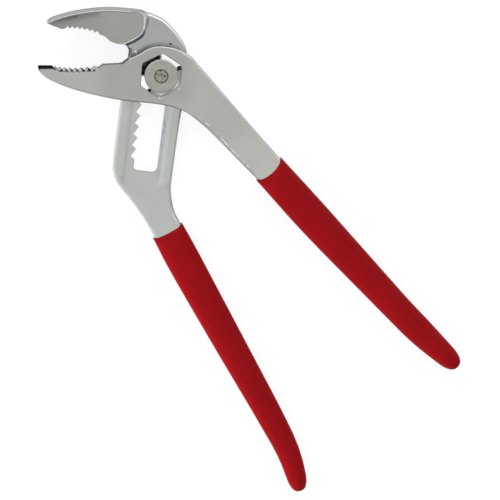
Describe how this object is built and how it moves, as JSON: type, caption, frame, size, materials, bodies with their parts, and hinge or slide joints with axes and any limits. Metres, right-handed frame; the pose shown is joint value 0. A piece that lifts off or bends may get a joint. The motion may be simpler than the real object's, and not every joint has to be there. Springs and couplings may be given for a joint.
{
  "type": "water pump pliers",
  "caption": "Water pump pliers with curved toothed jaws, a bolt that moves along a toothed slot to set the opening, and red dipped grips on both handles.",
  "frame": {"origin": "pivot axis, at the flat face of the bolt's head, which the pliers lie on together with both grips", "axes": "+Z along the pivot towards the nut; +X and +Y to the right and up as the pliers lie seen from the nut, jaws to the upper left"},
  "size_m": [0.1995, 0.2316, 0.0138],
  "materials": {
    "rear_arm": "satin plated",
    "front_arm": "satin plated",
    "rear_grip": "dipped vinyl",
    "front_grip": "dipped vinyl",
    "pivot_bolt": "zinc plated",
    "pivot_nut": "zinc plated"
  },
  "bodies": {
    "rear_half": {"rear_arm": "rear_arm", "rear_grip": "rear_grip"},
    "pivot": {"pivot_bolt": "pivot_bolt", "pivot_nut": "pivot_nut"},
    "front_half": {"front_arm": "front_arm", "front_grip": "front_grip"}
  },
  "joints": [
    {"name": "jaw_adjust", "type": "slide", "parent": "rear_half", "child": "pivot", "axis": [-0.1253, -0.9921, 0], "range_m": [0, 0.0318]},
    {"name": "jaw_hinge", "type": "hinge", "parent": "pivot", "child": "front_half", "pos_m": [0, 0, 0], "axis": [0, 0, 1], "range_deg": [-16, 25]}
  ]
}
